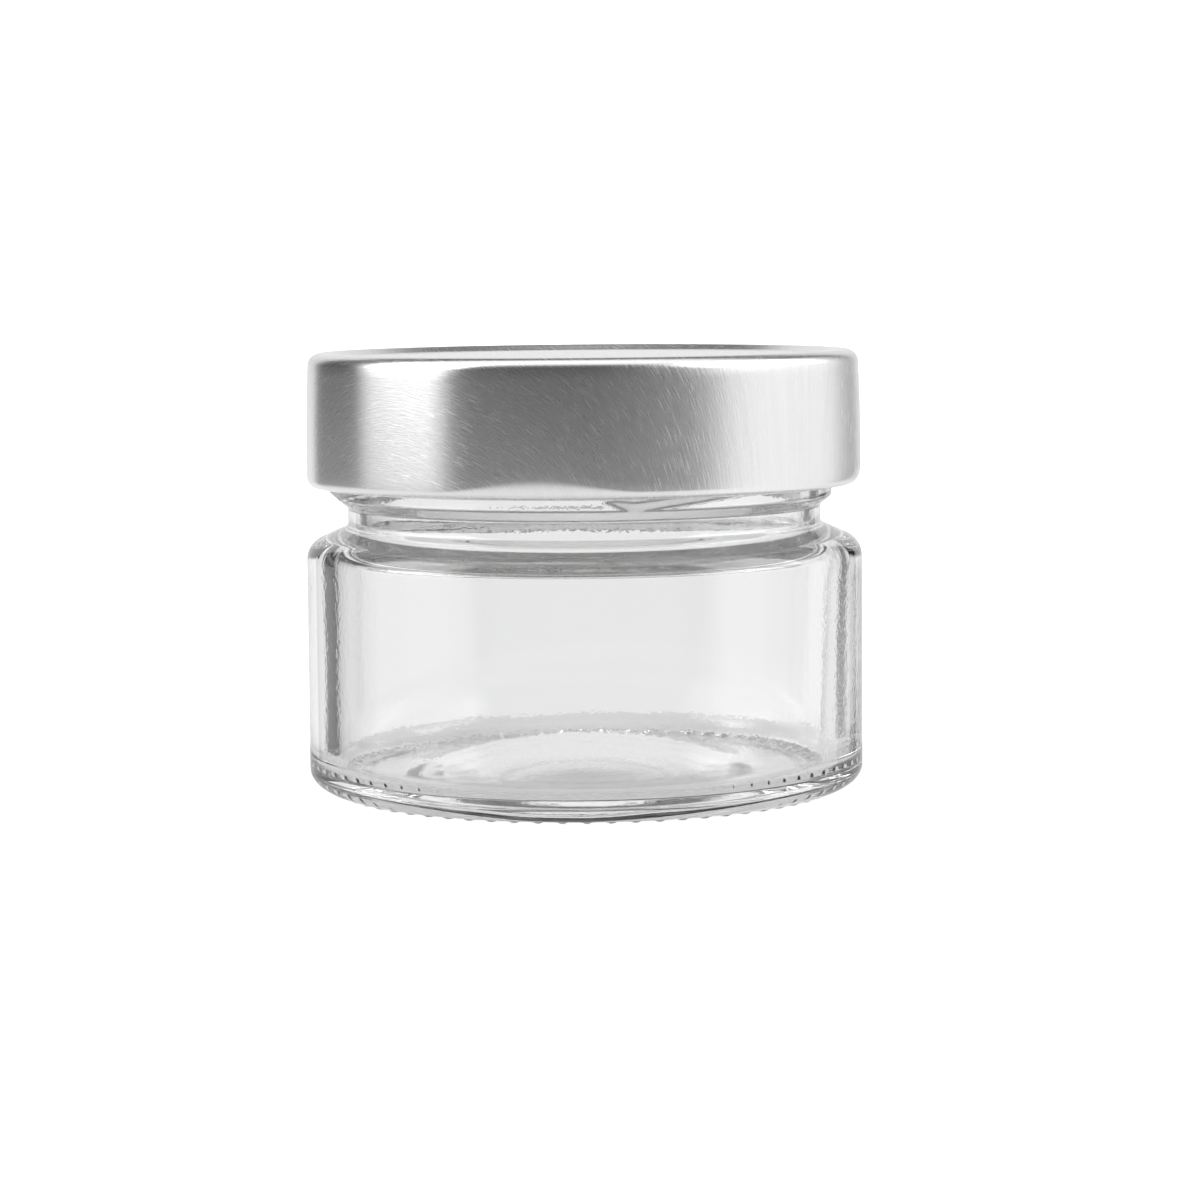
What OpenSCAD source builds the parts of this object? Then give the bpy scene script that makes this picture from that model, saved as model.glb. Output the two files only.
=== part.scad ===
// Short, wide glass jar with a deep twist-off metal lid: three pieces, one shared axis.
// Millimetres. Origin: centre of the circle that the jar stands on, +Z up.

/* [Jar body] */
// Outside diameter of the body
body_d = 73.8; // [73.4:0.1:75]
// Height of the glass, from the table to the sealing surface
glass_h = 56; // [54:0.5:66]
// Thickness of the side wall
wall_t = 3.75; // [3:0.05:4]
// Height at which the side wall starts to turn in to the shoulder
shoulder_z = 30.9; // [28:0.1:31.5]
// Radius of the shoulder's outer edge
shoulder_r = 3; // [2.4:0.1:3.4]
// Slope of the shoulder towards the neck, in degrees
shoulder_slope = 24; // [18:1:30]
// Height of the inside corner where the cavity turns in to the shoulder
inner_corner_z = 31; // [30:0.1:31.2]
// Slope of the cavity's shoulder, in degrees
inner_slope = 16; // [10:1:18]
// Radius of the heel, where the side wall meets the base
heel_r = 3.6; // [3:0.1:5]

/* [Base] */
// Rise of the pushed-up base at its centre, from the table
push_up_h = 3.4; // [2:0.1:3.6]
// Inner radius of the ring that the jar stands on
stand_in_r = 29.6; // [28:0.1:30]
// Height of the inside floor's dome, from the table
floor_top_z = 6.4; // [6:0.1:8]
// Height of the flat ring round that dome
floor_low_z = 2.8; // [2.4:0.1:3.4]
// Radius of curvature of the dome, inside and underneath
dome_r = 67; // [60:1:90]
// Radius between the inside floor and the side wall
floor_corner_r = 2.6; // [2:0.1:4]
// Number of knurls under the base
knurl_count = 68; // [48:1:80]
// Height of one knurl
knurl_h = 0.25; // [0.15:0.05:0.4]
// Width of one knurl
knurl_w = 1.2; // [0.8:0.1:1.4]
// Length of one knurl, along the radius
knurl_l = 2.4; // [1.6:0.1:2.4]

/* [Neck and finish] */
// Diameter of the neck groove between the shoulder and the finish
neck_d = 62.8; // [62:0.1:63.6]
// Diameter of the finish wall that carries the thread leads
finish_d = 65.8; // [65.4:0.1:66.2]
// Height at which the finish wall ends and slopes in to the neck
finish_z = 38.95; // [38:0.05:39.5]
// Height of that slope
finish_slope_h = 1.2; // [0.8:0.1:1.6]
// Diameter of the mouth
mouth_d = 57.8; // [56:0.1:58.4]
// Radius of the lip's outer and inner edges
lip_r = 1.3; // [0.8:0.1:1.6]

/* [Thread] */
// Number of thread leads around the finish
lead_count = 4; // [3:1:4]
// Rise of a lead in one full turn
lead_rise = 23.6; // [22:0.2:25]
// Angle that one lead covers
lead_span = 84; // [76:1:88]
// Angle of the first lead's low end, measured from the front towards the right
lead_start = 3; // [0:1:6]
// How far a lead stands out of the finish wall
lead_proud = 1.2; // [1:0.05:1.3]

/* [Lid] */
// Outside diameter of the lid
lid_d = 73.5; // [73.3:0.1:74]
// Height of the lid, from the curl's lower edge to the rim
lid_h = 17.55; // [17:0.05:18]
// Thickness of the tinplate sheet
sheet_t = 0.25; // [0.2:0.01:0.3]
// Radius of the lid's top outer edge
lid_edge_r = 2.3; // [1.8:0.1:2.4]
// Width of the flat top of the rim
rim_flat = 1.45; // [1:0.05:1.8]
// Depth of the panel below the rim
recess_h = 1.1; // [0.9:0.05:1.2]
// Outer radius of the rolled curl at the lid's lower edge
curl_r = 1.15; // [1:0.05:1.2]
// Number of lugs
lug_count = 4; // [3:1:4]
// Angle that one lug covers
lug_span = 18; // [10:1:18]
// Angle of the first lug's low end, measured from the front towards the right
lug_start = 68; // [67:1:69]
// Inner radius of the lugs
lug_in_r = 33.25; // [33.2:0.05:33.5]

/* [Sealing ring] */
// Inner radius of the sealing ring
ring_in_r = 29.2; // [28.6:0.1:29.8]
// Gap between the sealing ring and its neighbours
ring_gap = 0.05; // [0.04:0.01:0.08]

/* [Hidden] */
$fn = 180;
eps = 0.01;

body_r = body_d / 2;
neck_r = neck_d / 2;
finish_r = finish_d / 2;
mouth_r = mouth_d / 2;
cavity_r = body_r - wall_t;
inner_corner_r = 0.5;
inner_root_r = 2.15;
stand_z = knurl_h;
under_step = 0.3;
under_z = stand_z + under_step;

lid_r = lid_d / 2;
lid_clear = 1.65;
lid_z = finish_z + lid_clear;
rim_z = lid_z + lid_h;
rim_out_r = lid_r - lid_edge_r;
rim_in_r = rim_out_r - rim_flat;
step_r = recess_h / 2;
panel_z = rim_z - recess_h;
panel_r = rim_in_r - 2 * step_r;
curl_mid_r = lid_r - curl_r;
curl_mid_z = lid_z + curl_r;
curl_gap_angle = 70;
lug_low_z = lid_z + 1.05;
lug_h = 1.25;
lug_high_z = lug_low_z + lug_h;
lug_nose_low = 0.4;
lug_nose_high = 0.3;

// Angles here run from the front (-Y) towards the right (+X).
front_angle = -90;
knurl_mid_r = stand_in_r + 2.4;
lead_steps = 28;
lead_low_z = finish_z + 0.2;
lead_low_angle = 8;
lead_tip_rise = 1.1;
lead_root = 0.35;
lead_overlap = 0.1;
lead_under_flank = 0.95;
lead_crest = 1.5;
lead_upper_flank = 0.8;
lead_ease_low = 7;
lead_ease_high = 12;

seal_edge = 0.3;
seal_bead_r = 0.7;
seal_bead_h = 0.25;
seal_bead_w = 0.6;
seal_bead_up = 0.2;
seal_channel = 0.3;
seal_step = 0.75;

// Smooth step from 0 at 0 to 1 at 1.
function ease(t) = let (c = min(1, max(0, t))) c * c * (3 - 2 * c);

module quarter_ring(mid, r_out, r_in, right, up) {
    translate(mid) intersection() {
        difference() {
            circle(r_out);
            circle(r_in);
        }
        translate([right ? 0 : -r_out, up ? 0 : -r_out]) square(r_out);
    }
}

// ---------------------------------------------------------------- glass jar

module shoulder_outline(corner_r, edge_r, edge_z, top_r, slope) {
    mid_r = edge_r - corner_r;
    touch_r = mid_r + corner_r * sin(slope);
    touch_z = edge_z + corner_r * cos(slope);
    top_z = touch_z + (touch_r - top_r) * tan(slope);
    translate([mid_r, edge_z]) circle(corner_r);
    polygon([[0, edge_z], [mid_r, edge_z], [touch_r, touch_z], [top_r, top_z], [0, top_z]]);
}

module glass_outside() {
    heel_mid_r = body_r - heel_r;
    heel_mid_z = stand_z + heel_r;
    difference() {
        union() {
            translate([heel_mid_r, heel_mid_z]) circle(heel_r);
            translate([0, stand_z]) square([heel_mid_r, heel_r]);
            translate([0, heel_mid_z]) square([body_r, shoulder_z - heel_mid_z]);
            shoulder_outline(shoulder_r, body_r, shoulder_z, neck_r, shoulder_slope);
            translate([0, shoulder_z]) square([neck_r, finish_z - shoulder_z]);
            polygon([[0, finish_z - finish_slope_h], [neck_r, finish_z - finish_slope_h],
                     [finish_r, finish_z], [0, finish_z]]);
            translate([0, finish_z]) square([finish_r, glass_h - lip_r - finish_z]);
            translate([0, glass_h - lip_r - eps]) square([finish_r - lip_r, lip_r + eps]);
            translate([finish_r - lip_r, glass_h - lip_r]) circle(lip_r);
        }
        under_base();
        translate([-body_d, -1]) square([body_d, glass_h + 2]);
    }
}

module under_base() {
    translate([0, -1]) square([stand_in_r, under_z + 1]);
    intersection() {
        translate([0, push_up_h - dome_r]) circle(dome_r);
        square([stand_in_r, push_up_h + 1]);
    }
}

module glass_inside() {
    floor_r = cavity_r - floor_corner_r;
    corner_z = floor_low_z + floor_corner_r;
    difference() {
        union() {
            translate([0, floor_low_z]) square([floor_r, floor_corner_r]);
            translate([floor_r, corner_z]) circle(floor_corner_r);
            translate([0, corner_z]) square([cavity_r, inner_corner_z - corner_z]);
            shoulder_outline(inner_corner_r, cavity_r, inner_corner_z, mouth_r, inner_slope);
            translate([0, inner_corner_z]) square([mouth_r, glass_h + 1 - inner_corner_z]);
            inner_root();
            mouth_flare();
        }
        translate([0, floor_top_z - dome_r]) circle(dome_r);
    }
}

// The rounded edge between the cavity's shoulder and the inside of the neck.
module inner_root() {
    touch_r = cavity_r - inner_corner_r + inner_corner_r * sin(inner_slope);
    touch_z = inner_corner_z + inner_corner_r * cos(inner_slope);
    root_z = touch_z + (touch_r - mouth_r) * tan(inner_slope);
    reach = inner_root_r / tan((90 + inner_slope) / 2);
    mid = [mouth_r + inner_root_r, root_z + reach];
    difference() {
        polygon([[mouth_r - eps, root_z - eps], [mouth_r - eps, root_z + reach], mid,
                 [mouth_r + reach * cos(inner_slope), root_z - reach * sin(inner_slope)]]);
        translate(mid) circle(inner_root_r);
    }
}

module mouth_flare() {
    difference() {
        translate([mouth_r - eps, glass_h - lip_r]) square([lip_r + eps, lip_r + 1]);
        translate([mouth_r + lip_r, glass_h - lip_r]) circle(lip_r);
    }
}

// One thread lead: a ridge that climbs the finish wall, with a blunt low end and a long high end.
module lead() {
    root_r = finish_r - lead_root;
    function swell(a) = ease(a / lead_ease_low) * ease((lead_span - a) / lead_ease_high);
    function low_z(a) = lead_low_z + max(0, a - lead_low_angle) * lead_rise / 360
                        + lead_tip_rise * (1 - ease(a / lead_low_angle));
    function ring(a) =
        let (s = swell(a), z = low_z(a), r = finish_r - lead_overlap + (lead_proud + lead_overlap) * s)
        let (low = [root_r, z - lead_root * s], under = [r, z + lead_under_flank * s])
        let (over = [r, z + lead_overlap + lead_crest * s])
        let (high = [root_r, z + 2 * lead_overlap + (lead_crest + lead_upper_flank) * s])
        [for (p = [low, under, over, high])
            [p.x * cos(a), p.x * sin(a), p.y]];
    sides = 4;
    points = [for (i = [0 : lead_steps]) each ring(lead_span * i / lead_steps)];
    skin = [for (i = [0 : lead_steps - 1], k = [0 : sides - 1])
        let (a = i * sides + k, b = i * sides + (k + 1) % sides)
        each [[a, b, b + sides], [a, b + sides, a + sides]]];
    first = [[0, 2, 1], [0, 3, 2]];
    n = lead_steps * sides;
    last = [[n, n + 1, n + 2], [n, n + 2, n + 3]];
    polyhedron(points, concat(skin, first, last));
}

module knurl() {
    half = (knurl_l - knurl_w) / 2;
    linear_extrude(2 * knurl_h) {
        translate([-half, 0]) circle(d = knurl_w);
        translate([half, 0]) circle(d = knurl_w);
        translate([-half, -knurl_w / 2]) square([2 * half, knurl_w]);
    }
}

module glass_jar() {
    color([0.86, 0.89, 0.89, 0.35]) {
        rotate_extrude() difference() {
            glass_outside();
            glass_inside();
        }
        for (i = [0 : lead_count - 1])
            rotate(front_angle + lead_start + i * 360 / lead_count) lead();
        for (i = [0 : knurl_count - 1])
            rotate(i * 360 / knurl_count) translate([knurl_mid_r, 0]) knurl();
    }
}

// -------------------------------------------------------------- sealing ring

module sealing_ring() {
    low_z = glass_h + ring_gap;
    top_z = panel_z - sheet_t - ring_gap;
    channel_z = rim_z - sheet_t - ring_gap - seal_channel;
    color([0.9, 0.89, 0.85]) rotate_extrude() polygon([
        [ring_in_r + seal_edge, low_z], [finish_r - seal_bead_w, low_z],
        [finish_r + seal_bead_r, low_z - seal_bead_h],
        [finish_r + seal_bead_r + seal_bead_w, low_z + seal_bead_up],
        [rim_out_r + seal_edge, channel_z - seal_channel], [rim_out_r, channel_z],
        [rim_in_r + seal_edge, channel_z], [panel_r + seal_step, top_z],
        [ring_in_r, top_z], [ring_in_r, low_z + seal_edge]]);
}

// ----------------------------------------------------------------- lid shell

module lid_section() {
    translate([0, panel_z - sheet_t]) square([panel_r, sheet_t]);
    quarter_ring([panel_r, panel_z + step_r], step_r + sheet_t, step_r, true, false);
    quarter_ring([rim_in_r, rim_z - step_r], step_r, step_r - sheet_t, false, true);
    translate([rim_in_r, rim_z - sheet_t]) square([rim_flat, sheet_t]);
    quarter_ring([rim_out_r, rim_z - lid_edge_r], lid_edge_r, lid_edge_r - sheet_t, true, true);
    translate([lid_r - sheet_t, curl_mid_z]) square([sheet_t, rim_z - lid_edge_r - curl_mid_z]);
    curl_section();
}

module curl_section() {
    translate([curl_mid_r, curl_mid_z]) difference() {
        circle(curl_r);
        circle(curl_r - sheet_t);
        polygon([[0, 0], [2 * curl_r, 0],
                 2 * curl_r * [cos(curl_gap_angle), sin(curl_gap_angle)]]);
    }
}

module lug() {
    rotate_extrude(angle = lug_span) polygon([
        [lug_in_r, lug_low_z + lug_nose_low], [lug_in_r + lug_nose_low, lug_low_z],
        [curl_mid_r, lug_low_z], [curl_mid_r, lug_high_z],
        [lug_in_r + lug_nose_high, lug_high_z], [lug_in_r, lug_high_z - lug_nose_high]]);
}

module lid_shell() {
    color([0.75, 0.75, 0.76]) {
        rotate_extrude() lid_section();
        for (i = [0 : lug_count - 1])
            rotate(front_angle + lug_start + i * 360 / lug_count) lug();
    }
}

glass_jar();
sealing_ring();
lid_shell();
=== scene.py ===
"""Glass jar with a deep brushed twist-off lid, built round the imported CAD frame. Units are metres."""

import math

import bpy
import numpy as np
from mathutils import Euler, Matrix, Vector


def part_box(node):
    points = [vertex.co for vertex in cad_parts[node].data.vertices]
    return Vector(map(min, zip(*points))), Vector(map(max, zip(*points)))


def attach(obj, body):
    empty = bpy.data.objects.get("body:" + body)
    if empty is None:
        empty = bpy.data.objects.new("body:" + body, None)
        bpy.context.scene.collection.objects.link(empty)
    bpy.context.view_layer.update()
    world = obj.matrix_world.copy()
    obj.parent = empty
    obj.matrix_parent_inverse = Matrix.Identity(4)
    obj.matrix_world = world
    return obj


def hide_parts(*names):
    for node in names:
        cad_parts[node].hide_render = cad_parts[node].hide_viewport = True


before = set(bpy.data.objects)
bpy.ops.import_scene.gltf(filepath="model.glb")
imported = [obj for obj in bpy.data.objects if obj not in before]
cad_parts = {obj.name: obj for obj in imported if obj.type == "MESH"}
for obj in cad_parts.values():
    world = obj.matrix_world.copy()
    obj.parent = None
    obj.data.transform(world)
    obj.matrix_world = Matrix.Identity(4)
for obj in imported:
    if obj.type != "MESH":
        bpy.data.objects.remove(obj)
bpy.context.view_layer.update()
scene = bpy.context.scene

MM = 0.001
TAU = 2 * math.pi

# ------------------------------------------------------------------ sizes

GLASS_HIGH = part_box("glass_jar")[1]
LID_LOW, LID_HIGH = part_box("lid_shell")
RING_LOW, RING_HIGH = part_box("sealing_ring")

BODY_R = GLASS_HIGH[0]
LIP_Z = GLASS_HIGH[2]
LID_R = LID_HIGH[0]
LID_Z = LID_LOW[2]
RIM_Z = LID_HIGH[2]

KNURL_H = 0.18 * MM
KNURL_COUNT = 68
KNURL_W = 1.2 * MM
KNURL_L = 2.8 * MM
FOOT_R = 29.6 * MM
KNURL_R = FOOT_R + 3.0 * MM
PUSH_UP_Z = 3.4 * MM
PUSH_UP_R = 67 * MM
UNDER_Z = 0.55 * MM
HEEL_OUT = 4.4 * MM
HEEL_UP = 2.9 * MM
CAVITY_R = 33.15 * MM
CAVITY_FOOT_R = 32.7 * MM
CAVITY_LEAN = -0.45 * MM
FLOOR_Z = 6.4 * MM
FLOOR_DOME_R = 67 * MM
FLOOR_LOW_Z = 2.8 * MM
FLOOR_CORNER_R = 2.6 * MM
FLOOR_WAVE = 0.06 * MM
SWAY = 0.02 * MM
SWAY_LOW = 6 * MM
SWAY_HIGH = 30 * MM
POLE_R = 1.5 * MM

SHOULDER_Z = 30.9 * MM
SHOULDER_R = 3.0 * MM
SHOULDER_SLOPE = math.radians(24)
INNER_CORNER_Z = 31.0 * MM
INNER_CORNER_R = 0.5 * MM
INNER_SLOPE = math.radians(16)
INNER_ROOT_R = 2.15 * MM
NECK_R = 31.4 * MM
NECK_ROOT_R = 0.9 * MM
FINISH_R = 32.9 * MM
FINISH_Z = 38.95 * MM
FINISH_SLOPE_H = 1.2 * MM
FINISH_FOOT_R = 0.5 * MM
FINISH_EDGE_R = 0.6 * MM
MOUTH_R = 28.9 * MM
LIP_R = 1.3 * MM

LEAD_COUNT = 4
LEAD_RISE = 23.6 * MM / TAU
LEAD_SPAN = math.radians(84)
LEAD_START = math.radians(3)
LEAD_PROUD = 1.2 * MM
LEAD_LOW_ANGLE = math.radians(8)
LEAD_EASE_LOW = math.radians(7)
LEAD_EASE_HIGH = math.radians(12)
LEAD_TOP_Z = 48.6 * MM
LEAD_FOOT_Z = FINISH_Z + 0.2 * MM
LEAD_HOOK = 1.1 * MM     # how far a lead starts above its lowest point
LEAD_UNDER = 0.4 * MM
LEAD_FLANK = 1.45 * MM
LEAD_H = 2.5 * MM
LEAD_FALL = 1.1 * MM
LEAD_SOFT = 0.1 * MM

SHEET_T = 0.25 * MM
LID_EDGE_R = 1.7 * MM
LID_TAPER = 0.3 * MM
RIM_FLAT = 1.45 * MM
RECESS_H = 0.7 * MM
STEP_SLOPE = math.radians(31)
STEP_EDGE_R = 0.5 * MM
PANEL_DOME = 0.5 * MM
LID_POLE_R = 1.2 * MM
CURL_R = 1.15 * MM
LUG_COUNT = 4
LUG_SPAN = math.radians(18)
LUG_START = math.radians(68)
LUG_IN_R = 33.3 * MM
LUG_LOW = 41.7 * MM
LUG_HIGH = 42.85 * MM
LUG_SOFT = math.radians(2.5)
CURL_OUT = 11
CURL_IN = 21
DENT_SHIFT = math.radians(4)
DENT_HALF = math.radians(21)
DENT_H = 1.5 * MM

RING_IN_R = 29.2 * MM
RING_SINK = 0.03 * MM
RING_EDGE_R = 0.2 * MM
RING_CORNER_R = 0.45 * MM
RING_BULGE_AT = FINISH_R + 0.75 * MM
RING_BULGE = (0.9 * MM, 0.42 * MM)
RING_TOP_GAP = 0.06 * MM

PLAIN = 272          # points in a plain ring of the glass
LEADS = 544          # points in a ring that crosses the thread leads
KNURLS = 816         # points in a ring that crosses the knurls
LID_POINTS = 360     # points in a ring of the lid

# ------------------------------------------------------------------ surfaces

PEEL_SCALE = 1500.0
PEEL_INSIDE = 0.01 * MM
PEEL_OUTSIDE = 0.0005 * MM
BRUSH_ROUGH = 0.19
BRUSH_ANISO = 0.75
BRUSH_BUMP = 0.3
BRUSH_DEPTH = 0.04 * MM
BRUSH_AZIMUTH = math.radians(47)
FINE_LINES = (9000, 500, 0)      # cells per metre across and along the brushing
MID_LINES = (5200, 400, 0)
BROAD_LINES = (900, 40, 0)
SCRATCHES = (5200, 300, 0)

# ------------------------------------------------------------------ stage, light and camera

STAND_R = 60 * MM
FLOOR_R = 3.0
FLOOR_LEVEL = -0.05 * MM
# The stand's grey and glow are kept low so that glass and metal show it dim: painted shade of the table
# under the jar.
STAND_SHADE_GREY = 0.25
STAND_SHADE_GLOW = 0.42
FLOOR_GREY = 0.80
FLOOR_GLOW = 0.90
FLOOR_SPILL = 1.6    # how bright the floor is for light that has already been scattered
FLOOR_SEEN = 0.9     # and for the camera

# Ranges are in degrees: azimuth from the front towards the right, or height above the horizon.
# A third number is how softly a patch of light ends on each side of its two limits.
BACKDROP_SEEN = 1.05
BACK_LEFT = (-147.5, -144.5)
BACK_RIGHT = (149.0, 152.0)
BACK_TOP = (33.0, 41.0)
BACK_LIGHT = 0.90
GREY_NEAR = (103.0, 127.0, 2.0)
GREY_NEAR_LIGHT = 1.05
GREY_FAR = (127.0, 141.0, 1.5)
GREY_FAR_LIGHT = 0.45
GREY_FAR_THROUGH = 0.8
BOX_RISE = (4.0, 30.0)
BOX_TOP = (46.0, 57.0)
BOX_LIGHT = 1.05
BOX_TOP_LIGHT = 5.5
LEFT_BOX = (-104.5, -58.0, 7.0)
LEFT_FADE = (-3.0, 5.0)
LEFT_LOW = 0.45
RIGHT_BOX_IN = (50.0, 62.0)
RIGHT_BOX_OUT = (101.0, 105.0)
OVER_SLANT = (-0.62, 0.34, 0.08)    # not degrees: how far back the box reaches for each metre up
OVER_RISE = (20.0, 30.0)
OVER_LIGHT = 1.25
LOW_FALL = (6.0, 18.0)
LOW_LIGHT = 0.9
ROOM_RISE = (-6.0, 3.0)
ROOM_LOW = 0.12
ROOM_LIGHT = 0.09
FRONT = (-55.0, 45.0, 8.0)
FRONT_LIGHT = 0.35
TABLE = (-146.0, -52.0, 9.0)
TABLE_RISE = (-5.0, -1.0)
TABLE_LIGHT = 0.42

# The camera stands in front of the jar and a little above it.
CAMERA_Y = -0.4650
CAMERA_Z = 0.0700
AIM_X = 0.0020
AIM_Z = 0.02487
CAMERA_ROLL = math.radians(-0.50)
LENS_MM = 105.0
SENSOR_MM = 36.0


# ------------------------------------------------------------------ mesh tools

def ease(t):
    """Smooth step from 0 at 0 to 1 at 1."""
    t = np.clip(t, 0.0, 1.0)
    return t * t * (3 - 2 * t)


def line(p, q, n):
    """n points from p towards q, without q."""
    t = np.arange(n)[:, None] / n
    return np.array(p) * (1 - t) + np.array(q) * t


def arc(mid, radii, start, end, n):
    """n points of an ellipse arc from start to end, in degrees, without the last one."""
    a = np.radians(start + (end - start) * np.arange(n) / n)
    rx, rz = radii if isinstance(radii, tuple) else (radii, radii)
    return np.column_stack([mid[0] + rx * np.cos(a), mid[1] + rz * np.sin(a)])


def angles(n):
    """n azimuths round the jar, counted from the front towards the right."""
    return TAU * np.arange(n) / n


def ring_points(r, z, n):
    """n points of a ring round the axis; r and z may be one number or one for each point."""
    a = angles(n)
    r = np.broadcast_to(r, n)
    return np.column_stack([r * np.sin(a), -r * np.cos(a), np.broadcast_to(z, n)])


def stitch(a0, na, b0, nb):
    """Faces between ring a (na points from a0) and ring b; one count is a multiple of the other."""
    faces = []
    if na == nb:
        i = np.arange(na)
        j = (i + 1) % na
        return np.column_stack([a0 + i, a0 + j, b0 + j, b0 + i]).tolist()
    flip = na > nb
    if flip:
        a0, na, b0, nb = b0, nb, a0, na
    k = nb // na
    for i in range(na):
        a, a_next = a0 + i, a0 + (i + 1) % na
        for m in range(k):
            b, b_next = b0 + k * i + m, b0 + (k * i + m + 1) % nb
            faces.append([a if m < k / 2 else a_next, b_next, b])
        faces.append([a, a_next, b0 + k * i + (k + 1) // 2])
    return [f[::-1] for f in faces] if flip else faces


def lathe(name, rings, closed_ends=True):
    """A smooth mesh through rings of points; closed_ends closes both ends in a point on the axis."""
    verts, faces, start = [], [], []
    for ring in rings:
        start.append(len(verts))
        verts.extend(ring.tolist())
    for k in range(len(rings) - 1):
        faces += stitch(start[k], len(rings[k]), start[k + 1], len(rings[k + 1]))
    if closed_ends:
        for k, order in ((0, 1), (len(rings) - 1, -1)):
            pole = len(verts)
            verts.append([0.0, 0.0, float(np.mean(rings[k][:, 2]))])
            n = len(rings[k])
            for i in range(n):
                faces.append([pole, start[k] + (i + 1) % n, start[k] + i][::order])
    mesh = bpy.data.meshes.new(name)
    mesh.from_pydata(verts, [], faces)
    mesh.validate()
    mesh.polygons.foreach_set("use_smooth", [True] * len(mesh.polygons))
    obj = bpy.data.objects.new(name, mesh)
    scene.collection.objects.link(obj)
    return obj


# ------------------------------------------------------------------ node tools

class Nodes:
    """Short ways to add and join nodes in one tree."""

    def __init__(self, tree):
        self.tree = tree
        tree.nodes.clear()

    def add(self, kind, inputs=None, **props):
        node = self.tree.nodes.new(kind)
        for key, value in props.items():
            setattr(node, key, value)
        for key, value in (inputs or {}).items():
            self.feed(node.inputs[key], value)
        return node

    def feed(self, socket, value):
        if isinstance(value, bpy.types.NodeSocket):
            self.tree.links.new(value, socket)
        else:
            socket.default_value = value

    def math(self, operation, *values):
        node = self.add("ShaderNodeMath", operation=operation)
        for socket, value in zip(node.inputs, values):
            self.feed(socket, value)
        return node.outputs[0]

    def step(self, value, low, high):
        """0 below low, 1 above high, smooth between."""
        node = self.add("ShaderNodeMapRange", {"Value": value, "From Min": low, "From Max": high},
                        interpolation_type="SMOOTHSTEP")
        return node.outputs[0]

    def below(self, value, low, high):
        """1 below low, 0 above high, smooth between."""
        return self.math("SUBTRACT", 1.0, self.step(value, low, high))

    def window(self, value, low, high, soft):
        """1 from low to high, 0 outside, with edges soft to each side."""
        up = self.step(value, low - soft, low + soft)
        down = self.step(value, high - soft, high + soft)
        return self.math("SUBTRACT", up, down)

    def noise(self, vector, scale, detail, roughness):
        node = self.add("ShaderNodeTexNoise", {"Vector": vector, "Scale": scale, "Detail": detail,
                                               "Roughness": roughness})
        return node.outputs["Fac"]

    def scaled(self, vector, factors):
        node = self.add("ShaderNodeVectorMath", {0: vector, 1: factors}, operation="MULTIPLY")
        return node.outputs[0]


def new_material(name):
    """An empty material and the tools for its node tree."""
    mat = bpy.data.materials.new(name)
    mat.use_nodes = True
    return mat, Nodes(mat.node_tree)


def finish_material(nodes, shader):
    """Joins the shader to the material's surface."""
    out = nodes.add("ShaderNodeOutputMaterial")
    nodes.tree.links.new(shader.outputs[0], out.inputs["Surface"])


# ------------------------------------------------------------------ materials

def glass_material(name, ripple):
    """Clear soda glass whose skin has a faint orange peel, ripple metres deep."""
    mat, n = new_material(name)
    place = n.add("ShaderNodeTexCoord").outputs["Object"]
    peel = n.noise(place, PEEL_SCALE, 2.0, 0.5)
    bump = n.add("ShaderNodeBump", {"Height": peel, "Strength": 1.0, "Distance": ripple})
    shader = n.add("ShaderNodeBsdfPrincipled", {
        "Base Color": (0.994, 0.996, 0.995, 1), "Roughness": 0.0, "IOR": 1.5,
        "Transmission Weight": 1.0, "Normal": bump.outputs[0]})
    finish_material(n, shader)
    return mat


def brushed_material():
    """Tinplate brushed along one direction of the flat sheet: UV map "sheet" is across, along."""
    mat, n = new_material("brushed_tinplate")
    uv = n.add("ShaderNodeUVMap", uv_map="sheet").outputs[0]
    fine = n.noise(n.scaled(uv, FINE_LINES), 1.0, 2.0, 0.6)
    mid = n.noise(n.scaled(uv, MID_LINES), 1.0, 2.0, 0.6)
    broad = n.noise(n.scaled(uv, BROAD_LINES), 1.0, 2.0, 0.5)
    scratch = n.noise(n.scaled(uv, SCRATCHES), 1.0, 1.0, 0.5)
    cut = n.step(scratch, 0.60, 0.76)
    height = n.math("MULTIPLY_ADD", fine, 0.5, mid)
    bump = n.add("ShaderNodeBump", {"Height": height, "Strength": BRUSH_BUMP, "Distance": BRUSH_DEPTH})
    rough = n.math("MULTIPLY_ADD", cut, 0.06, n.math("MULTIPLY_ADD", fine, 0.12, BRUSH_ROUGH))
    ramp = n.add("ShaderNodeMix", {"Factor": n.math("MULTIPLY_ADD", cut, 0.5, broad),
                                   "A": (0.82, 0.82, 0.825, 1), "B": (0.90, 0.90, 0.90, 1)},
                 data_type="RGBA", clamp_factor=True)
    tangent = n.add("ShaderNodeTangent", direction_type="UV_MAP", uv_map="sheet")
    shader = n.add("ShaderNodeBsdfPrincipled", {
        "Base Color": ramp.outputs["Result"], "Metallic": 1.0, "Roughness": rough,
        "Anisotropic": BRUSH_ANISO, "Normal": bump.outputs[0], "Tangent": tangent.outputs[0]})
    finish_material(n, shader)
    return mat


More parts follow.
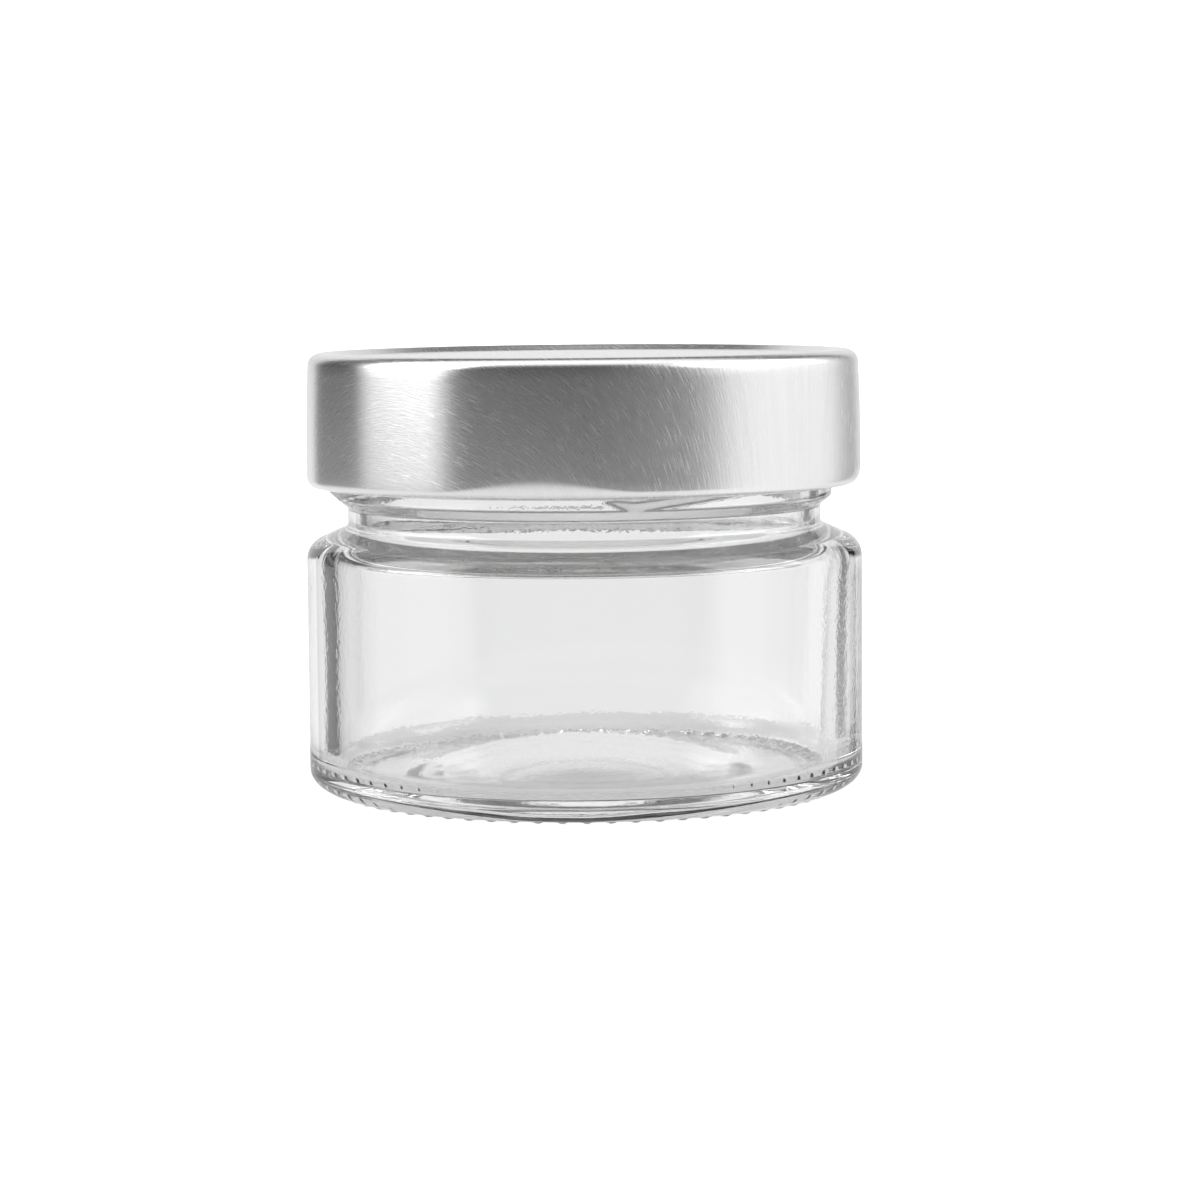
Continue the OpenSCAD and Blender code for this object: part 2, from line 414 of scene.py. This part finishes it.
def lacquer_material():
    """The lacquered inside of the lid."""
    mat, n = new_material("inside_lacquer")
    uv = n.add("ShaderNodeUVMap", uv_map="sheet").outputs[0]
    cloud = n.noise(n.scaled(uv, (160, 160, 0)), 1.0, 4.0, 0.6)
    peel = n.noise(n.scaled(uv, (1500, 1500, 0)), 1.0, 2.0, 0.5)
    colour = n.add("ShaderNodeMix", {"Factor": cloud, "A": (0.90, 0.90, 0.895, 1),
                                     "B": (0.94, 0.94, 0.935, 1)}, data_type="RGBA")
    bump = n.add("ShaderNodeBump", {"Height": peel, "Strength": 0.2, "Distance": 0.00003})
    shader = n.add("ShaderNodeBsdfPrincipled", {
        "Base Color": colour.outputs["Result"], "Roughness": n.math("MULTIPLY_ADD", cloud, 0.1, 0.26),
        "Normal": bump.outputs[0]})
    finish_material(n, shader)
    return mat


def plastisol_material():
    """Matt flowed-in plastisol, a little cloudy and grainy."""
    mat, n = new_material("plastisol")
    place = n.add("ShaderNodeTexCoord").outputs["Object"]
    cloud = n.noise(place, 220.0, 4.0, 0.6)
    grain = n.noise(place, 2600.0, 2.0, 0.6)
    colour = n.add("ShaderNodeMix", {"Factor": cloud, "A": (0.86, 0.857, 0.85, 1),
                                     "B": (0.90, 0.897, 0.89, 1)}, data_type="RGBA")
    bump = n.add("ShaderNodeBump", {"Height": n.math("MULTIPLY_ADD", cloud, 2.0, grain),
                                    "Strength": 0.35, "Distance": 0.00004})
    shader = n.add("ShaderNodeBsdfPrincipled", {
        "Base Color": colour.outputs["Result"], "Roughness": n.math("MULTIPLY_ADD", grain, 0.2, 0.42),
        "Normal": bump.outputs[0]})
    finish_material(n, shader)
    return mat


def floor_material(grey, glow):
    """A pale matt sheet that also glows; glow is how brightly metal and glass show it."""
    mat, n = new_material("pale_floor")
    place = n.add("ShaderNodeTexCoord").outputs["Object"]
    grain = n.noise(place, 900.0, 3.0, 0.6)
    colour = n.add("ShaderNodeMix", {"Factor": grain, "A": (grey - 0.02,) * 3 + (1,),
                                     "B": (grey + 0.02,) * 3 + (1,)}, data_type="RGBA")
    path = n.add("ShaderNodeLightPath")
    scattered = n.math("MINIMUM", path.outputs["Diffuse Depth"], 1.0)
    spill = n.math("MULTIPLY_ADD", scattered, FLOOR_SPILL - glow, glow)
    light = n.add("ShaderNodeMix", {"Factor": path.outputs["Is Camera Ray"], "A": spill,
                                    "B": FLOOR_SEEN}, data_type="FLOAT")
    shader = n.add("ShaderNodeBsdfPrincipled", {
        "Base Color": colour.outputs["Result"], "Roughness": 0.9, "Specular IOR Level": 0.1,
        "Emission Color": (1, 1, 1, 1), "Emission Strength": light.outputs[0]})
    finish_material(n, shader)
    return mat


# ------------------------------------------------------------------ glass jar

def shoulder_points():
    """The shoulder's rounded edge, where its slope starts, and the corner that it makes with the neck."""
    mid = (BODY_R - SHOULDER_R, SHOULDER_Z)
    rise, reach = math.sin(SHOULDER_SLOPE), math.cos(SHOULDER_SLOPE)
    touch = (mid[0] + SHOULDER_R * rise, mid[1] + SHOULDER_R * reach)
    root = (NECK_R, touch[1] + (touch[0] - NECK_R) * math.tan(SHOULDER_SLOPE))
    return arc(mid, SHOULDER_R, 0, 90 - math.degrees(SHOULDER_SLOPE), 16), touch, root


def fillet(points, radius, n):
    """Rounds the corner of three points: n points of the arc, and the two places it runs between."""
    a, b, c = (np.array(p) for p in points)
    u, v = (a - b) / np.linalg.norm(a - b), (c - b) / np.linalg.norm(c - b)
    half = math.acos(np.clip(np.dot(u, v), -1, 1)) / 2
    reach = radius / math.tan(half)
    p, q = b + u * reach, b + v * reach
    mid = b + (u + v) / np.linalg.norm(u + v) * radius / math.sin(half)
    a0 = math.degrees(math.atan2(*(p - mid)[::-1]))
    a1 = math.degrees(math.atan2(*(q - mid)[::-1]))
    a1 += 360 * round((a0 - a1) / 360)
    return arc(mid, radius, a0, a1, n), p, q


def lead_height(a, z):
    """How far the thread leads stand out of the finish wall at azimuth a and height z."""
    out = np.zeros_like(a)
    for i in range(LEAD_COUNT):
        t = np.mod(a - LEAD_START - i * TAU / LEAD_COUNT, TAU)
        swell = ease(t / LEAD_EASE_LOW) * ease((LEAD_SPAN - t) / LEAD_EASE_HIGH)
        low = LEAD_FOOT_Z + np.maximum(0, t - LEAD_LOW_ANGLE) * LEAD_RISE
        low = low + LEAD_HOOK * (1 - ease(t / LEAD_LOW_ANGLE))
        up = z - low
        flank = ease((up + LEAD_UNDER * swell) / (LEAD_FLANK * swell + LEAD_SOFT))
        drop = ease((2 * LEAD_SOFT + LEAD_H * swell - up) / (LEAD_FALL * swell + LEAD_SOFT))
        out = np.maximum(out, swell * flank * drop * (t < LEAD_SPAN))
    return LEAD_PROUD * out


def knurl_depth(a, r):
    """How far the knurls reach down at azimuth a and radius r."""
    pitch = TAU / KNURL_COUNT
    off = (np.mod(a - math.pi / 2 + pitch / 2, pitch) - pitch / 2) * r
    along = np.maximum(np.abs(r - KNURL_R) - (KNURL_L - KNURL_W) / 2, 0)
    away = np.hypot(off, along) / (KNURL_W / 2)
    return KNURL_H * (1 - ease((away - 0.25) / 0.95))


def wave(a, z, k):
    """The slow unevenness of a blown wall, about -1 to 1; each k is a different pattern."""
    h = z / (20 * MM)
    return (math.sin(k) * 0.2 + 0.38 * np.sin(2 * a + 1.3 * h + k) + 0.27 * np.sin(5 * a - 2.1 * h + 2 * k)
            + 0.2 * np.sin(9 * a + 3.7 * h + 3 * k) + 0.15 * np.sin(17 * a - 5.2 * h + k * k))


def domed(r, top_z, dome_r, low_z):
    """Height at radius r of a dome that runs out smoothly into a flat ring at low_z."""
    z = top_z - dome_r + math.sqrt(dome_r ** 2 - r * r)
    soft = 0.35 * MM
    return low_z + soft * math.log1p(math.exp((z - low_z) / soft))


def glass_outside_rings():
    """The outside from the middle of the push-up over the feet, wall and finish to the lip."""
    rings = []
    for r in np.linspace(POLE_R, FOOT_R - 1.2 * MM, 22):
        rings.append(ring_points(r, domed(r, PUSH_UP_Z, PUSH_UP_R, UNDER_Z), PLAIN))
    inner = line((FOOT_R - 0.9 * MM, UNDER_Z), (FOOT_R + 0.3 * MM, KNURL_H), 5)
    feet = line((FOOT_R + 0.3 * MM, KNURL_H), (BODY_R - HEEL_OUT, KNURL_H), 10)
    turn = arc((BODY_R - HEEL_OUT, KNURL_H + HEEL_UP), (HEEL_OUT, HEEL_UP), -90, -55, 10)
    feet = np.vstack([feet, turn])
    for r, z in inner:
        rings.append(ring_points(r, z, PLAIN))
    a = angles(KNURLS)
    for r, z in feet:
        rings.append(ring_points(r, z - knurl_depth(a, r), KNURLS))
    heel = arc((BODY_R - HEEL_OUT, KNURL_H + HEEL_UP), (HEEL_OUT, HEEL_UP), -55, 0, 13)
    shoulder, touch, root_corner = shoulder_points()
    wall = line((BODY_R, KNURL_H + HEEL_UP), (BODY_R, SHOULDER_Z), 9)
    root, root_in, root_out = fillet((touch, root_corner, (NECK_R, FINISH_Z)), NECK_ROOT_R, 8)
    slope = line(touch, root_in, 5)
    step_low = (NECK_R, FINISH_Z - FINISH_SLOPE_H)
    step_high = (FINISH_R, FINISH_Z)
    low, low_in, low_out = fillet((root_out, step_low, step_high), FINISH_FOOT_R, 6)
    high, high_in, high_out = fillet((step_low, step_high, (FINISH_R, LIP_Z)), FINISH_EDGE_R, 8)
    plain = np.vstack([heel, wall, shoulder, slope, root, line(root_out, low_in, 4)])
    for r, z in plain:
        r = r + SWAY * wave(angles(PLAIN), z, 1.7) * (SWAY_LOW < z < SWAY_HIGH)
        rings.append(ring_points(r, z, PLAIN))
    a = angles(LEADS)
    threaded = np.vstack([low, line(low_out, high_in, 3), high,
                          line(high_out, (FINISH_R, LEAD_TOP_Z), 36)])
    for r, z in threaded:
        rings.append(ring_points(r + lead_height(a, z), z, LEADS))
    lip = np.vstack([line((FINISH_R, LEAD_TOP_Z), (FINISH_R, LIP_Z - LIP_R), 6),
                     arc((FINISH_R - LIP_R, LIP_Z - LIP_R), LIP_R, 0, 90, 9),
                     line((FINISH_R - LIP_R, LIP_Z), (MOUTH_R + LIP_R, LIP_Z), 4),
                     arc((MOUTH_R + LIP_R, LIP_Z - LIP_R), LIP_R, 90, 180, 9)])
    for r, z in lip:
        rings.append(ring_points(r, z, PLAIN))
    return rings


def lean(z):
    """Sideways shift of the cavity at height z: its axis leans, so one side of the wall is thicker."""
    t = (z - FLOOR_LOW_Z) / (INNER_CORNER_Z - FLOOR_LOW_Z)
    return CAVITY_LEAN * (1 - np.clip(t, 0, 1))


def glass_inside_rings():
    """The cavity from the lip down to the middle of the floor."""
    corner = (CAVITY_R, INNER_CORNER_Z)
    root = (MOUTH_R, INNER_CORNER_Z + (CAVITY_R - MOUTH_R) * math.tan(INNER_SLOPE))
    bend, bend_in, bend_out = fillet((root, corner, (CAVITY_R, 0)), INNER_CORNER_R, 8)
    turn, turn_in, turn_out = fillet(((MOUTH_R, LIP_Z), root, corner), INNER_ROOT_R, 14)
    foot_r = CAVITY_FOOT_R - FLOOR_CORNER_R
    foot_z = FLOOR_LOW_Z + FLOOR_CORNER_R
    down = np.vstack([line((MOUTH_R, LIP_Z - LIP_R), turn_in, 8), turn, line(turn_out, bend_in, 6), bend,
                      line(bend_out, (CAVITY_FOOT_R, foot_z), 11),
                      arc((foot_r, foot_z), FLOOR_CORNER_R, 0, -90, 14)])
    rings = []
    a = angles(PLAIN)
    for r, z in down:
        ring = ring_points(r + SWAY * wave(a, z, 0.6), z, PLAIN)
        ring[:, 0] += lean(z)
        rings.append(ring)
    for r in np.linspace(foot_r, POLE_R, 27):
        z = domed(r, FLOOR_Z, FLOOR_DOME_R, FLOOR_LOW_Z)
        ring = ring_points(r, z + FLOOR_WAVE * wave(a, z + r, 2.9) * ease(r / foot_r), PLAIN)
        ring[:, 0] += CAVITY_LEAN
        rings.append(ring)
    return rings


def make_glass():
    """One closed mesh: the outside from the push-up to the lip, and the cavity down to the floor."""
    outside = glass_outside_rings()
    glass = lathe("jar_glass", outside + glass_inside_rings())
    glass.data.materials.append(glass_material("clear_glass", PEEL_OUTSIDE))
    glass.data.materials.append(glass_material("clear_glass_inside", PEEL_INSIDE))
    inside = sum(len(ring) for ring in outside)
    for face in glass.data.polygons:
        if min(face.vertices) >= inside:
            face.material_index = 1
    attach(glass, "jar")
    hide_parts("glass_jar")


# ------------------------------------------------------------------ lid

def sheet_path():
    """The middle of the lid's sheet from its centre to the end of the plain curl."""
    half = SHEET_T / 2
    rim_out = LID_R - LID_TAPER - LID_EDGE_R
    rim_in = rim_out - RIM_FLAT
    rim_z = RIM_Z - half
    panel_z = rim_z - RECESS_H
    panel_r = rim_in - RECESS_H / math.tan(STEP_SLOPE)
    low, low_in, low_out = fillet(((0, panel_z), (panel_r, panel_z), (rim_in, rim_z)), STEP_EDGE_R, 6)
    corners = ((panel_r, panel_z), (rim_in, rim_z), (rim_out, rim_z))
    high, high_in, high_out = fillet(corners, STEP_EDGE_R, 6)
    panel = line((LID_POLE_R, panel_z), low_in, 24)
    panel[:, 1] += PANEL_DOME * (1 - ease(panel[:, 0] / (low_in[0] - 1 * MM)))
    curl_mid = (LID_R - CURL_R, LID_Z + CURL_R)
    wall_h = RIM_Z - LID_EDGE_R - curl_mid[1]
    tilt = math.degrees(math.atan(2 * LID_TAPER / wall_h))
    t = np.arange(14) / 14
    wall = np.column_stack([LID_R - half - LID_TAPER * (1 - t) ** 2, curl_mid[1] + wall_h * (1 - t)])
    return np.vstack([
        panel,
        low,
        line(low_out, high_in, 5),
        high,
        line(high_out, (rim_out, rim_z), 4),
        arc((rim_out, RIM_Z - LID_EDGE_R), LID_EDGE_R - half, 90, tilt, 16),
        wall[1:],
        arc(curl_mid, CURL_R - half, 0, -90, CURL_OUT),
        arc(curl_mid, CURL_R - half, -90, -285, CURL_IN)])


def lug_path():
    """The curl's inner part where a lug is pressed: flattened and pushed in."""
    half = SHEET_T / 2
    nose = (LUG_HIGH - LUG_LOW) / 2
    mid = (LUG_IN_R + nose, (LUG_LOW + LUG_HIGH) / 2)
    return np.vstack([
        line((LID_R - CURL_R, LID_Z + half), (mid[0] + 0.3 * MM, LUG_LOW + half), 6),
        arc(mid, nose - half, -90, -270, CURL_IN - 12),
        line((mid[0], LUG_HIGH - half), (LID_R - 1.5 * MM, LUG_HIGH - half), 6)])


def dent_path(height):
    """The curl's outer edge with the given height, from the wall to its lowest point."""
    half = SHEET_T / 2
    return arc((LID_R - CURL_R, LID_Z + height), (CURL_R - half, height - half), 0, -90, CURL_OUT)


def lid_grid(path):
    """The middle of the sheet at each azimuth: the path, with the lugs pressed in and a dent at each."""
    a = angles(LID_POINTS)
    pitch = TAU / LUG_COUNT
    t = np.mod(a - LUG_START + LUG_SOFT, pitch)
    lug = ease(t / LUG_SOFT) * ease((LUG_SPAN + 2 * LUG_SOFT - t) / LUG_SOFT)
    lug = lug[None, :, None]
    grid = np.repeat(path[:, None, :], LID_POINTS, axis=1)
    grid[-CURL_IN:] = grid[-CURL_IN:] * (1 - lug) + lug_path()[:, None, :] * lug
    off = np.mod(a - LUG_START - LUG_SPAN / 2 - DENT_SHIFT + pitch / 2, pitch) - pitch / 2
    dent = ease(1 - np.abs(off) / DENT_HALF)
    wall_top = RIM_Z - LID_EDGE_R
    wall = np.flatnonzero(path[:-CURL_IN - CURL_OUT, 1] < wall_top)
    for i in np.flatnonzero(dent > 0):
        height = CURL_R + DENT_H * dent[i]
        grid[-CURL_IN - CURL_OUT:-CURL_IN, i] = dent_path(height)
        squeeze = (wall_top - LID_Z - height) / (wall_top - LID_Z - CURL_R)
        grid[wall, i, 1] = wall_top - (wall_top - path[wall, 1]) * squeeze
    return grid


def make_lid():
    """The lid's sheet with both its sides: the brushed outside and the lacquered inside."""
    path = sheet_path()
    grid = lid_grid(path)
    tangent = np.gradient(grid, axis=0)
    tangent /= np.linalg.norm(tangent, axis=2, keepdims=True)
    outward = np.stack([-tangent[..., 1], tangent[..., 0]], axis=2)
    outer = grid + outward * SHEET_T / 2
    inner = grid - outward * SHEET_T / 2
    rings = [ring_points(row[:, 0], row[:, 1], LID_POINTS) for row in outer]
    rings += [ring_points(row[:, 0], row[:, 1], LID_POINTS) for row in inner[::-1]]
    lid = lathe("lid_sheet", rings[::-1])
    add_sheet_map(lid, path)
    lid.data.materials.append(brushed_material())
    lid.data.materials.append(lacquer_material())
    inside = len(path) * LID_POINTS
    for face in lid.data.polygons:
        if max(face.vertices) < inside:
            face.material_index = 1
    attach(lid, "lid")
    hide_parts("lid_shell")


def add_sheet_map(lid, path):
    """UV map "sheet": each point's place on the flat disc the lid was drawn from, turned so that
    U runs across the brushing and V along it, in metres."""
    steps = np.linalg.norm(np.diff(path, axis=0), axis=1)
    radii = (path[1:, 0] + path[:-1, 0]) / 2
    flat = np.sqrt(np.concatenate([[path[0, 0] ** 2], path[0, 0] ** 2 + 2 * np.cumsum(radii * steps)]))
    flat = np.concatenate([flat, flat[::-1]])[::-1]
    a = angles(LID_POINTS) - BRUSH_AZIMUTH
    across = (flat[:, None] * np.sin(a)[None, :]).ravel()
    along = (flat[:, None] * np.cos(a)[None, :]).ravel()
    # The mesh's last two points are the middles of its two faces.
    across = np.concatenate([across, [0.0, 0.0]])
    along = np.concatenate([along, [0.0, 0.0]])
    layer = lid.data.uv_layers.new(name="sheet")
    corners = np.empty(len(lid.data.loops), dtype=np.int32)
    lid.data.loops.foreach_get("vertex_index", corners)
    layer.data.foreach_set("uv", np.column_stack([across[corners], along[corners]]).ravel())


# ------------------------------------------------------------------ sealing ring

def make_ring():
    """Plastisol in the lid's channel, with the shallow groove that the glass presses in it."""
    rim_in = LID_R - LID_EDGE_R - RIM_FLAT
    lip_r = LIP_R - RING_SINK
    out_r = RING_HIGH[0]
    high = RING_HIGH[2]
    top = high - 0.02 * MM
    panel = RIM_Z - RECESS_H - SHEET_T - RING_TOP_GAP
    edge = RING_IN_R + RING_EDGE_R
    section = np.vstack([
        arc((edge, LIP_Z - RING_SINK + RING_EDGE_R), RING_EDGE_R, 180, 240, 4),
        arc((MOUTH_R + LIP_R, LIP_Z - LIP_R), lip_r, 122, 90, 8),
        arc((FINISH_R - LIP_R, LIP_Z - LIP_R), lip_r, 90, 52, 9),
        arc((RING_BULGE_AT, RING_LOW[2] + RING_BULGE[1]), RING_BULGE, 200, 320, 12),
        arc((out_r - RING_CORNER_R, high - 0.75 * MM), RING_CORNER_R, 0, 60, 5),
        line((out_r - 0.5 * MM, top), (rim_in + 0.5 * MM, top), 5),
        line((rim_in - 0.3 * MM, panel), (RING_IN_R + 0.3 * MM, panel), 8),
        arc((edge, panel - RING_EDGE_R), RING_EDGE_R, 90, 180, 4)])
    rings = [ring_points(r, z, PLAIN) for r, z in section]
    ring = lathe("sealing_compound", rings + rings[:1], closed_ends=False)
    ring.data.materials.append(plastisol_material())
    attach(ring, "seal")
    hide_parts("sealing_ring")


# ------------------------------------------------------------------ stage, light and camera

def ring_sheet(name, inner_r, outer_r, grey, glow):
    """A flat sheet on the floor between two circles; inner_r of 0 makes it a plain disc."""
    n = 96
    inner = ring_points(max(inner_r, MM), FLOOR_LEVEL, n)
    outer = ring_points(outer_r, FLOOR_LEVEL, n)
    faces = stitch(0, n, n, n)
    if inner_r == 0:
        faces.append(list(range(n))[::-1])
    mesh = bpy.data.meshes.new(name)
    mesh.from_pydata(np.vstack([inner, outer]).tolist(), [], [f[::-1] for f in faces])
    sheet = bpy.data.objects.new(name, mesh)
    scene.collection.objects.link(sheet)
    sheet.data.materials.append(floor_material(grey, glow))
    return sheet


def make_floor():
    """A stand under the jar that the camera sees pale but glass and metal show dim, as painted shade of
    the table there; round it a floor that neither metal nor glass shows.
    """
    # The stand's low grey and glow paint the table's shade under the jar.
    ring_sheet("stand", 0, STAND_R, STAND_SHADE_GREY, STAND_SHADE_GLOW)
    floor = ring_sheet("floor", STAND_R, FLOOR_R, FLOOR_GREY, FLOOR_GLOW)
    floor.visible_glossy = False
    floor.visible_transmission = False


def soft_boxes(n, azimuth, up):
    """The boxes on both sides, brighter higher up; the left one also fades towards the floor."""
    rise = n.step(up, *BOX_RISE)
    box = n.math("MULTIPLY_ADD", rise, BOX_TOP_LIGHT - BOX_LIGHT, BOX_LIGHT)
    box = n.math("MULTIPLY", box, n.below(up, *BOX_TOP))
    fade = n.math("MULTIPLY_ADD", n.step(up, *LEFT_FADE), 1 - LEFT_LOW, LEFT_LOW)
    left = n.math("MULTIPLY", n.math("MULTIPLY", n.window(azimuth, *LEFT_BOX), fade), box)
    right = n.math("MULTIPLY", n.step(azimuth, *RIGHT_BOX_IN), n.below(azimuth, *RIGHT_BOX_OUT))
    return n.math("MAXIMUM", left, n.math("MULTIPLY", right, box))


def backdrop(n, azimuth, up, through):
    """The white backdrop and the two grey panels beside it, all of one height."""
    white = n.math("MAXIMUM", n.below(azimuth, *BACK_LEFT), n.step(azimuth, *BACK_RIGHT))
    near = n.math("MULTIPLY", n.window(azimuth, *GREY_NEAR), GREY_NEAR_LIGHT)
    far_light = n.math("MULTIPLY_ADD", through, GREY_FAR_THROUGH - GREY_FAR_LIGHT, GREY_FAR_LIGHT)
    far = n.math("MULTIPLY", n.window(azimuth, *GREY_FAR), far_light)
    panels = n.math("MAXIMUM", n.math("MULTIPLY", white, BACK_LIGHT), n.math("MAXIMUM", near, far))
    return n.math("MULTIPLY", panels, n.below(up, *BACK_TOP))


def room(n, azimuth, up, through):
    """The dark room; glass shows its front lighter, and metal shows a table at its left."""
    dark = n.math("MULTIPLY_ADD", n.step(up, *ROOM_RISE), ROOM_LIGHT - ROOM_LOW, ROOM_LOW)
    front = n.math("MULTIPLY", n.window(azimuth, *FRONT), n.math("MULTIPLY", through, FRONT_LIGHT))
    mirrored = n.math("SUBTRACT", TABLE_LIGHT, n.math("MULTIPLY", through, TABLE_LIGHT))
    table = n.math("MULTIPLY", n.window(azimuth, *TABLE), mirrored)
    table = n.math("MULTIPLY", table, n.below(up, *TABLE_RISE))
    return n.math("MAXIMUM", table, n.math("MAXIMUM", dark, front))


def studio_world():
    """A white backdrop, a soft box on each side, one overhead, and a dark room behind the camera."""
    world = bpy.data.worlds.new("studio")
    scene.world = world
    world.use_nodes = True
    n = Nodes(world.node_tree)
    direction = n.add("ShaderNodeTexCoord").outputs["Generated"]
    x, y, z = n.add("ShaderNodeSeparateXYZ", {0: direction}).outputs
    azimuth = n.math("DEGREES", n.math("ARCTAN2", x, n.math("MULTIPLY", y, -1.0)))
    up = n.math("DEGREES", n.math("ARCSINE", z))
    path = n.add("ShaderNodeLightPath")
    through = n.math("MINIMUM", path.outputs["Transmission Depth"], 1.0)

    slant = n.math("DIVIDE", y, n.math("MAXIMUM", z, 0.01))
    over = n.math("MULTIPLY", n.window(slant, *OVER_SLANT), OVER_LIGHT)
    over = n.math("MULTIPLY", over, n.step(up, *OVER_RISE))
    low = n.math("MULTIPLY", n.step(n.math("MULTIPLY", up, -1.0), *LOW_FALL), LOW_LIGHT)
    level = n.math("MAXIMUM", soft_boxes(n, azimuth, up), backdrop(n, azimuth, up, through))
    level = n.math("MAXIMUM", level, n.math("MAXIMUM", over, low))
    level = n.math("MAXIMUM", level, room(n, azimuth, up, through))

    strength = n.add("ShaderNodeMix", {"Factor": path.outputs["Is Camera Ray"], "A": level,
                                       "B": BACKDROP_SEEN}, data_type="FLOAT")
    light = n.add("ShaderNodeBackground", {"Color": (1, 1, 1, 1), "Strength": strength.outputs[0]})
    out = n.add("ShaderNodeOutputWorld")
    world.node_tree.links.new(light.outputs[0], out.inputs["Surface"])


def make_camera():
    """A long lens aimed at the jar's middle."""
    cam = bpy.data.objects.new("camera", bpy.data.cameras.new("camera"))
    scene.collection.objects.link(cam)
    cam.location = (0.0, CAMERA_Y, CAMERA_Z)
    yaw = math.atan2(AIM_X, -CAMERA_Y)
    pitch = math.atan2(CAMERA_Z - AIM_Z, -CAMERA_Y)
    cam.rotation_mode = "XYZ"
    aim = Euler((math.pi / 2 - pitch, 0, -yaw)).to_matrix()
    roll = Euler((0, 0, CAMERA_ROLL)).to_matrix()
    cam.rotation_euler = (aim @ roll).to_euler()
    cam.data.lens = LENS_MM
    cam.data.sensor_width = SENSOR_MM
    cam.data.clip_start = 0.01
    scene.camera = cam


def render_look():
    """Plain display colours, and enough bounces for clear glass."""
    scene.view_settings.view_transform = "Standard"
    scene.cycles.max_bounces = 48
    scene.cycles.transmission_bounces = 48
    scene.cycles.diffuse_bounces = 16
    scene.cycles.glossy_bounces = 12
    scene.cycles.use_denoising = True


make_camera()
make_floor()
studio_world()
make_glass()
make_ring()
make_lid()
render_look()
